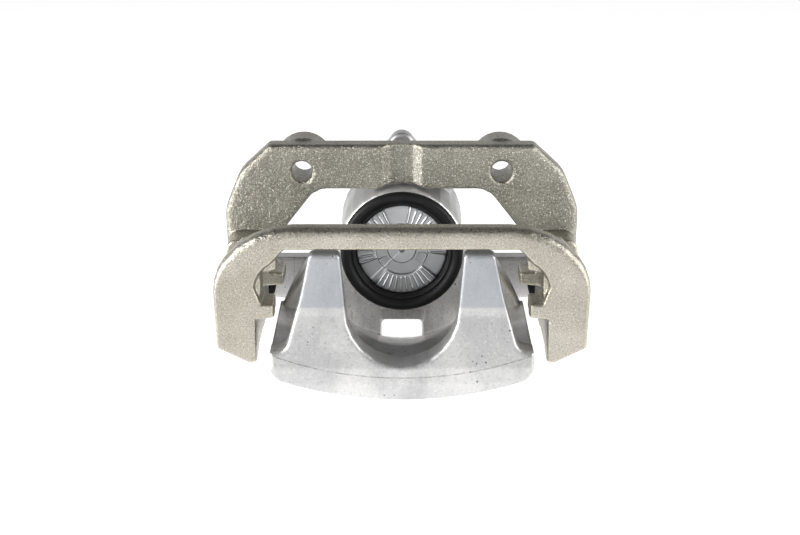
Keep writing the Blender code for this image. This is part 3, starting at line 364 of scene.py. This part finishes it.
def plated_iron():
    """Zinc-plated sand-cast iron: pale yellowish grey with a fine grain and painted glints."""
    finish = Finish("plated_cast_iron", 0.9, 0.45)
    cloud = finish.noise(38.0, 3.0)
    speck = finish.noise(1350.0, 2.0, 0.75)
    grain = finish.noise(620.0, 4.0, 0.62)
    # Behind PLATE_SHADE_Y the plating takes darker copies of its tones: painted shade on the rear plate,
    # where the tie bar shades it
    painted_shade_rear = finish.within("Y", PLATE_SHADE_Y - 0.004, PLATE_SHADE_Y + 0.004)
    light = finish.mix(painted_shade_rear, (0.49, 0.465, 0.40), (0.365, 0.350, 0.298))
    deep = finish.mix(painted_shade_rear, (0.39, 0.365, 0.305), (0.275, 0.26, 0.218))
    colour = finish.mix(finish.spread(cloud, 0.35, 0.65), deep, light)
    colour = finish.mix(finish.spread(speck, 0.47, 0.34, 0.0, 0.55), colour, (0.14, 0.13, 0.10))
    # Near-white specks painted into the colour as glints of the plating, stronger on the rear plate: painted
    # highlights
    painted_glint = finish.combine("MULTIPLY", finish.spread(speck, 0.57, 0.68),
                             finish.spread(painted_shade_rear, 0.0, 1.0, 0.45, 0.75))
    colour = finish.mix(painted_glint, colour, (0.96, 0.94, 0.89))
    colour = finish.mix(finish.edges(0.515, 0.56, 0.75), colour, (0.78, 0.70, 0.52))
    # Concave corners get a painted brownish shade
    colour = finish.mix(finish.edges(0.485, 0.44, 0.70), colour, (0.24, 0.20, 0.14))
    rough = finish.spread(grain, 0.3, 0.7, 0.24, 0.40)
    finish.bump(finish.noise(160.0, 3.0), 0.30, 0.0006)
    coarse = finish.combine("MULTIPLY", grain, finish.spread(painted_shade_rear, 0.0, 1.0, 0.55, 0.85))
    finish.bump(coarse, 1.0, 0.0006)
    fine = finish.combine("MULTIPLY", speck, finish.spread(painted_shade_rear, 0.0, 1.0, 0.5, 0.9))
    finish.bump(fine, 0.8, 0.0004)
    return finish.done(colour, rough)


def cast_aluminium():
    """Shot-blasted cast aluminium with small dark pits and brighter edges."""
    finish = Finish("blasted_cast_aluminium", 0.80, 0.45)
    cloud = finish.noise(30.0, 3.0)
    grain = finish.noise(900.0, 4.0, 0.6)
    patch = finish.noise(55.0, 2.0)
    pits = finish.cells(330.0)
    pit_share = finish.combine("MULTIPLY", finish.spread(pits, 0.20, 0.10),
                               finish.spread(patch, 0.55, 0.62))
    # Between INNER_Y and RIM_Y the hollow takes lighter copies of the tones: painted light, where the
    # fingers and foot shade it
    inside = finish.combine("MULTIPLY", finish.within("Y", INNER_Y - 0.004, INNER_Y + 0.004),
                            finish.within("Y", RIM_Y + 0.004, RIM_Y + 0.001))
    deep = finish.mix(inside, (0.50, 0.50, 0.50), (0.70, 0.69, 0.675))
    light = finish.mix(inside, (0.62, 0.615, 0.61), (0.98, 0.97, 0.95))
    colour = finish.mix(finish.spread(cloud, 0.38, 0.62), deep, light)
    smear = finish.noise(70.0, 5.0, 0.7, (1.0, 1.0, 0.35))
    colour = finish.mix(finish.spread(smear, 0.50, 0.66, 0.0, 0.35), colour, (0.30, 0.30, 0.31))
    colour = finish.mix(finish.spread(grain, 0.45, 0.28, 0.0, 0.6), colour, (0.30, 0.31, 0.32))
    colour = finish.mix(finish.spread(grain, 0.58, 0.70, 0.0, 0.4), colour, (0.86, 0.87, 0.88))
    # Above FINGER_SHADE_Z the fingers' front faces are painted a darker bluish grey: a painted reflection of
    # the darker surroundings
    painted_reflection_upper = finish.within("Z", FINGER_SHADE_Z - 0.0006, FINGER_SHADE_Z + 0.0006, 0.60)
    painted_reflection_upper = finish.combine("MULTIPLY", painted_reflection_upper,
                           finish.within("Y", FRONT_Y + 0.008, FRONT_Y + 0.004))
    colour = finish.mix(painted_reflection_upper, colour, (0.30, 0.325, 0.36))
    scratch = finish.noise(26.0, 2.0, 0.5, (30.0, 1.0, 1.0))
    scratch = finish.spread(scratch, 0.70, 0.74, 0.0, 0.35)
    colour = finish.mix(scratch, colour, (0.30, 0.28, 0.27))
    colour = finish.mix(finish.edges(0.525, 0.58), colour, (0.80, 0.81, 0.81))
    colour = finish.mix(pit_share, colour, (0.10, 0.10, 0.11))
    across = finish.position("X")
    rise = finish.combine("MULTIPLY", finish.combine("MULTIPLY", across, across), SEAM_RISE)
    above = finish.combine("SUBTRACT", finish.position("Z"), SEAM_Z)
    away = finish.combine("ABSOLUTE", finish.combine("SUBTRACT", above, rise), 0.0)
    seam = finish.combine("MULTIPLY", finish.spread(away, SEAM_HALF_WIDTH, 0.3 * SEAM_HALF_WIDTH),
                          finish.within("Y", FRONT_Y, FRONT_Y - 0.002))
    seam = finish.combine("MULTIPLY", seam,
                          finish.spread(finish.noise(420.0, 2.0), 0.40, 0.60, 0.25, 1.0))
    colour = finish.mix(finish.spread(seam, 0.0, 1.0, 0.0, 0.6), colour, (0.22, 0.20, 0.18))
    rough = finish.spread(grain, 0.3, 0.7, 0.34, 0.52)
    finish.bump(finish.noise(120.0, 2.0), 0.15, 0.0006)
    finish.bump(grain, 0.55, 0.00022)
    finish.bump(finish.spread(pit_share, 0.0, 1.0, 1.0, 0.0), 0.6, 0.0003)
    finish.bump(seam, 0.5, 0.0002)
    return finish.done(colour, rough)


def turned_aluminium():
    """Satin piston aluminium with fine ring marks."""
    finish = Finish("satin_piston_aluminium", 0.88, 0.36)
    cloud = finish.noise(60.0, 3.0)
    grain = finish.noise(1200.0, 3.0)
    colour = finish.mix(finish.spread(cloud, 0.35, 0.65), (0.36, 0.37, 0.38), (0.46, 0.47, 0.48))
    # Painted highlights on outer edges, then painted shade in inner corners
    colour = finish.mix(finish.edges(0.51, 0.55, 0.9), colour, (0.88, 0.89, 0.90))
    colour = finish.mix(finish.edges(0.49, 0.45, 0.7), colour, (0.22, 0.23, 0.24))
    rough = finish.spread(grain, 0.3, 0.7, 0.28, 0.44)
    finish.bump(grain, 0.25, 0.0001)
    return finish.done(colour, rough)


def plain_steel(name, low, high):
    """Turned or rolled steel with fine marks round its axis and worn edges."""
    finish = Finish(name, 0.95, 0.32)
    cloud = finish.noise(90.0, 3.0)
    lines = finish.noise(60.0, 4.0, 0.6, (1.0, 28.0, 1.0))
    colour = finish.mix(finish.spread(cloud, 0.35, 0.65), low, high)
    colour = finish.mix(finish.edges(0.52, 0.60), colour, (0.86, 0.86, 0.85))
    rough = finish.spread(lines, 0.3, 0.7, 0.22, 0.42)
    finish.bump(lines, 0.15, 0.00008)
    return finish.done(colour, rough)


def black_rubber():
    """Moulded black rubber with a dusty bloom in the folds."""
    finish = Finish("moulded_black_rubber", 0.0, 0.5)
    cloud = finish.noise(80.0, 4.0)
    grain = finish.noise(1400.0, 3.0)
    colour = finish.mix(finish.spread(cloud, 0.40, 0.70), (0.004, 0.004, 0.005),
                        (0.010, 0.010, 0.011))
    colour = finish.mix(finish.edges(0.52, 0.60), colour, (0.020, 0.020, 0.022))
    rough = finish.spread(grain, 0.3, 0.7, 0.42, 0.60)
    finish.shader.inputs["Specular IOR Level"].default_value = 0.30
    finish.bump(grain, 0.25, 0.00008)
    return finish.done(colour, rough)


def dress(piece, material):
    """Put one material on the whole piece."""
    piece.data.materials.clear()
    piece.data.materials.append(material)


# Castings and steel pieces ------------------------------------------------------------------

iron = plated_iron()
aluminium = cast_aluminium()
satin = turned_aluminium()
steel = plain_steel("zinc_plated_steel", (0.58, 0.57, 0.53), (0.70, 0.70, 0.68))
dark_steel = plain_steel("bearing_steel", (0.20, 0.20, 0.21), (0.30, 0.30, 0.31))
rubber = black_rubber()

dress(cast("bracket", BRACKET_VOXEL, BRACKET_ROUNDS), iron)
dress(cast("housing", HOUSING_VOXEL, HOUSING_ROUNDS), aluminium)
for node in ("guide_pin_left", "guide_pin_right", "pin_bolt_left", "pin_bolt_right", "bleed_screw",
             "spindle", "spindle_nut", "thrust_washer"):
    dress(eased(node), steel)
for node in ("thrust_bearing", "spindle_circlip"):
    dress(eased(node, 0.0002), dark_steel)
for node in ("piston_seal", "pin_bush_right", "spindle_seal"):
    dress(eased(node, 0.0002), rubber)
dress(eased("bleed_cap", 0.0006, 3), rubber)


# Piston -------------------------------------------------------------------------------------

piston_low, piston_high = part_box("piston")
piston_radius = (piston_high.x - piston_low.x) / 2
piston_centre = ((piston_low.x + piston_high.x) / 2, (piston_low.z + piston_high.z) / 2)
face_y = piston_low.y


def off_land(angle):
    """How far an angle lies from the middle of the nearest land, in degrees."""
    turns = [abs((math.degrees(angle) - middle + 180.0) % 360.0 - 180.0) for middle in LAND_MIDDLES]
    return min(turns)


def face_height(radius, angle, y):
    """Front surface of the piston: lands with ridges, notches with ramps, recess and boss."""
    share = radius / piston_radius
    if y > face_y + FLOOR_DEPTH + 0.0002:
        return y
    away = off_land(angle)
    land = ease(share, RECESS_SHARE - 0.006, RECESS_SHARE + 0.012)
    land *= 1.0 - ease(away, LAND_HALF_ANGLE - LAND_SLOPE_ANGLE, LAND_HALF_ANGLE + LAND_SLOPE_ANGLE)
    boss = 1.0 - ease(share, BOSS_SHARE - 0.014, BOSS_SHARE + 0.006)
    depth = FLOOR_DEPTH * (1.0 - land)
    depth = min(depth, FLOOR_DEPTH + (BOSS_DROP - FLOOR_DEPTH) * boss)
    ridge = (away + RIDGE_PITCH / 2) % RIDGE_PITCH - RIDGE_PITCH / 2
    lift = 1.0 - ease(abs(ridge), RIDGE_HALF_ANGLE * 0.4, RIDGE_HALF_ANGLE)
    lift *= ease(share, RIDGE_START - 0.02, RIDGE_START + 0.01)
    lift *= 1.0 - ease(share, RIDGE_END - 0.01, RIDGE_END + 0.02)
    depth += RIDGE_HEIGHT * land * (1.0 - lift)
    across = 60.0 - away
    ramp = 1.0 - ease(across, RAMP_HALF_ANGLE - 1.5, RAMP_HALF_ANGLE)
    climb = min(max((share - RAMP_START) / (RAMP_END - RAMP_START), 0.0), 1.0)
    if share > RAMP_END:
        climb = 1.0 - ease(share, RAMP_END, RAMP_END + 0.02)
    depth -= RAMP_HEIGHT * ramp * climb
    return face_y + max(depth, 0.0) + max(y - face_y, 0.0)


def piston_profile():
    """Hollow piston, its face finely divided."""
    groove_front = face_y + GROOVE_START
    groove_back = groove_front + GROOVE_WIDTH
    neck = piston_radius - GROOVE_DEPTH
    inner = piston_radius - PISTON_WALL
    crown_y = face_y + PISTON_CROWN
    shares = [0.0] + [0.04 * step for step in range(1, 7)]
    shares += [0.26 + FACE_RING_STEP * step for step in range(FACE_RINGS)]
    face = [(share * piston_radius, face_y) for share in shares
            if share * piston_radius < piston_radius - PISTON_RIM]
    rim = [(piston_radius - PISTON_RIM * (1 - math.sin(a)),
            face_y + PISTON_RIM * (1 - math.cos(a)))
           for a in (math.radians(10 * step) for step in range(10))]
    side = [(piston_radius, groove_front), (neck, groove_front + 0.0002), (neck, groove_back),
            (piston_radius, groove_back + 0.0002), (piston_radius, piston_high.y - 0.0006),
            (piston_radius - 0.0006, piston_high.y), (inner + 0.0004, piston_high.y),
            (inner, piston_high.y - 0.0004), (inner, crown_y + 0.0030),
            (inner - 0.0030, crown_y), (0.0, crown_y)]
    return face + rim + side


piston = turned("piston_satin", piston_profile(), piston_centre, FACE_STEPS, face_height)
outward(piston)
dress(piston, satin)
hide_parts("piston")
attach(piston, "piston")


# Bellows ------------------------------------------------------------------------------------

def folded_skin(path, skin):
    """Closed profile of that thickness round a path of (radius, y) points."""
    smooth = list(path)
    for _ in range(SKIN_ROUNDS):
        finer = [smooth[0]]
        for (x, y), (x_next, y_next) in zip(smooth, smooth[1:]):
            finer.append((0.75 * x + 0.25 * x_next, 0.75 * y + 0.25 * y_next))
            finer.append((0.25 * x + 0.75 * x_next, 0.25 * y + 0.75 * y_next))
        finer.append(smooth[-1])
        smooth = finer
    near, far = [], []
    for index, (x, y) in enumerate(smooth):
        before = smooth[max(index - 1, 0)]
        after = smooth[min(index + 1, len(smooth) - 1)]
        along = Vector((after[0] - before[0], after[1] - before[1])).normalized()
        near.append((x - along.y * skin / 2, y + along.x * skin / 2))
        far.append((x + along.y * skin / 2, y - along.x * skin / 2))
    return near + far[::-1]


boot_low, boot_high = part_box("piston_boot")
boot_outer = (boot_high.x - boot_low.x) / 2
boot_nose = boot_low.y
boot_back = boot_high.y
lip = piston_radius + BOOT_SKIN / 2 + BOOT_CLEARANCE
bead = boot_outer - BOOT_SKIN / 2
roll = boot_outer + BOOT_ROLL
boot_path = [
    (bead, boot_back - BOOT_SKIN / 2), (bead, face_y - 0.0004),
    (roll - 0.0004, face_y - 0.0009), (roll, boot_nose + 0.0026),
    (roll - 0.0010, boot_nose + 0.0004), (roll - 0.0034, boot_nose + 0.0004),
    (roll - 0.0046, boot_nose + 0.0022), (roll - 0.0052, boot_nose + 0.0046),
    (lip + 0.0012, boot_nose + 0.0024), (lip + 0.0004, boot_nose + 0.0038),
    (lip, boot_nose + 0.0056), (lip, boot_back - 0.0014)]
boot = turned("dust_boot_bellows", folded_skin(boot_path, BOOT_SKIN), piston_centre)
outward(boot)
dress(boot, rubber)
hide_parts("piston_boot")
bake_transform(boot, "housing", "piston", (0.0, boot_back, 0.0), (0.0, boot_nose, 0.0))
weights = boot.data.attributes["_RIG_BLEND"].data
for vert, weight in zip(boot.data.vertices, weights):
    reach = math.hypot(vert.co.x - piston_centre[0], vert.co.z - piston_centre[1])
    weight.value = 1.0 - ease(reach, lip + 0.0006, roll - 0.0030)

for side in ("left", "right"):
    low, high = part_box(f"pin_boot_{side}")
    centre = ((low.x + high.x) / 2, (low.z + high.z) / 2)
    outer = (high.x - low.x) / 2
    pitch = (high.y - low.y - 0.0024) / PIN_BOOT_FOLDS
    valley = outer - PIN_BOOT_VALLEY
    collar = outer - 0.0030
    outside = [(outer - 0.0014, low.y),
               (outer - 0.0004, low.y + 0.0005),
               (outer - 0.0012, low.y + 0.0014)]
    for fold in range(PIN_BOOT_FOLDS):
        start = low.y + 0.0012 + fold * pitch
        outside += [(valley, start + 0.10 * pitch), (outer, start + 0.35 * pitch),
                    (outer, start + 0.65 * pitch), (valley, start + 0.90 * pitch)]
    outside += [(collar, high.y - 0.0010), (collar, high.y),
                (PIN_BOOT_INNER, high.y), (PIN_BOOT_INNER, low.y)]
    bellows = turned(f"pin_boot_bellows_{side}", curve_points(outside), centre)
    outward(bellows)
    dress(bellows, rubber)
    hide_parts(f"pin_boot_{side}")
    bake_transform(bellows, "bracket", "housing", (0.0, low.y + 0.0015, 0.0), (0.0, high.y - 0.0010, 0.0))


# Studio -------------------------------------------------------------------------------------

def soft_light(name, place, power):
    """Large area lamp that faces the caliper."""
    lamp = bpy.data.lights.new(name, "AREA")
    lamp.shape = "DISK"
    lamp.size = LAMP_SIZE
    lamp.energy = power
    item = bpy.data.objects.new(name, lamp)
    item.location = place
    item.rotation_euler = (TARGET - Vector(place)).to_track_quat("-Z", "Y").to_euler()
    bpy.context.scene.collection.objects.link(item)


floor_material = bpy.data.materials.new("studio_floor")
floor_material.use_nodes = True
floor_shader = floor_material.node_tree.nodes["Principled BSDF"]
floor_shader.inputs["Base Color"].default_value = (0.93, 0.93, 0.93, 1.0)
floor_shader.inputs["Roughness"].default_value = 0.9
floor_shader.inputs["Specular IOR Level"].default_value = 0.0
floor_shader.inputs["Emission Color"].default_value = (1.0, 1.0, 1.0, 1.0)
floor_shader.inputs["Emission Strength"].default_value = FLOOR_GLOW
floor_z = cad_box[0][2] - FLOOR_GAP
half = FLOOR_SIZE / 2
floor_mesh = bpy.data.meshes.new("studio_floor")
floor_corners = [(-half, -half, floor_z), (half, -half, floor_z),
                 (half, half, floor_z), (-half, half, floor_z)]
floor_mesh.from_pydata(floor_corners, [], [(0, 1, 2, 3)])
floor_mesh.materials.append(floor_material)
floor = bpy.data.objects.new("studio_floor", floor_mesh)
bpy.context.scene.collection.objects.link(floor)

soft_light("key", KEY_PLACE, KEY_POWER)
soft_light("fill", FILL_PLACE, FILL_POWER)

world = bpy.data.worlds.new("studio")
world.use_nodes = True
world_nodes = world.node_tree.nodes
world_links = world.node_tree.links
direction = world_nodes.new("ShaderNodeTexCoord")
height = world_nodes.new("ShaderNodeSeparateXYZ")
fade = world_nodes.new("ShaderNodeMapRange")
fade.inputs["From Min"].default_value = WALL_TOP
fade.inputs["From Max"].default_value = CEILING_START
fade.inputs["To Min"].default_value = WALL_LIGHT
fade.inputs["To Max"].default_value = CEILING_LIGHT
world_links.new(direction.outputs["Generated"], height.inputs["Vector"])
world_links.new(height.outputs["Z"], fade.inputs["Value"])
world_links.new(fade.outputs["Result"], world_nodes["Background"].inputs["Strength"])
world_nodes["Background"].inputs["Color"].default_value = (1.0, 1.0, 1.0, 1.0)
bpy.context.scene.world = world

camera_data = bpy.data.cameras.new("camera")
camera_data.lens = LENS
camera_data.sensor_width = 36.0
camera_data.shift_x = SHIFT_X
camera_data.clip_start = 0.01
camera = bpy.data.objects.new("camera", camera_data)
sight = Vector((0.0, -math.cos(CAMERA_ELEVATION), math.sin(CAMERA_ELEVATION)))
camera.location = TARGET + CAMERA_DISTANCE * sight
camera.rotation_euler = (TARGET - camera.location).to_track_quat("-Z", "Y").to_euler()
bpy.context.scene.collection.objects.link(camera)
bpy.context.scene.camera = camera
bpy.context.scene.view_settings.view_transform = "Standard"
